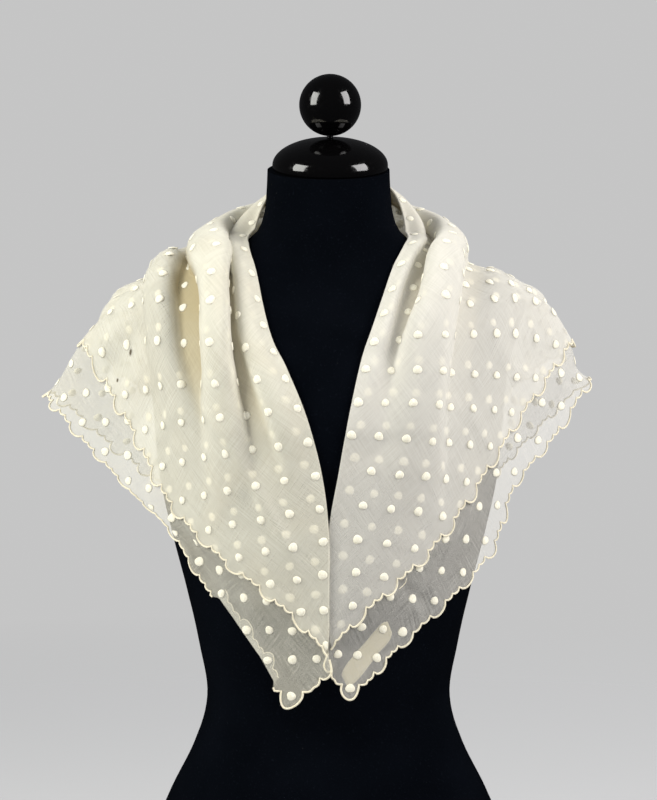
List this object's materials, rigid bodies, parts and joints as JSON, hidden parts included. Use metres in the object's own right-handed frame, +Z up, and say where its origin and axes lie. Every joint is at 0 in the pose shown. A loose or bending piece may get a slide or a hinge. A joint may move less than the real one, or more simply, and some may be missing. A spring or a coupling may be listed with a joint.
{
  "type": "fichu on a dress form",
  "caption": "Sheer dotted muslin kerchief with scalloped edges, folded near its diagonal and worn round the shoulders of a limbless dress form with a domed neck cap and ball finial.",
  "frame": {"origin": "centre of the dress form's flat underside, on the axis of its torso", "axes": "+Z up along the form; the wearer's front faces -Y; +X is on the right of the picture"},
  "size_m": [0.5093, 0.2579, 0.7687],
  "materials": {
    "muslin": "sheer, matte",
    "jersey": "matte",
    "lacquer": "high gloss"
  },
  "bodies": {
    "root": {"fichu_upper_layer": "muslin", "fichu_under_layer": "muslin", "form_body": "jersey", "neck_cap": "lacquer", "finial_stem": "lacquer", "finial_ball": "lacquer"}
  },
  "joints": []
}
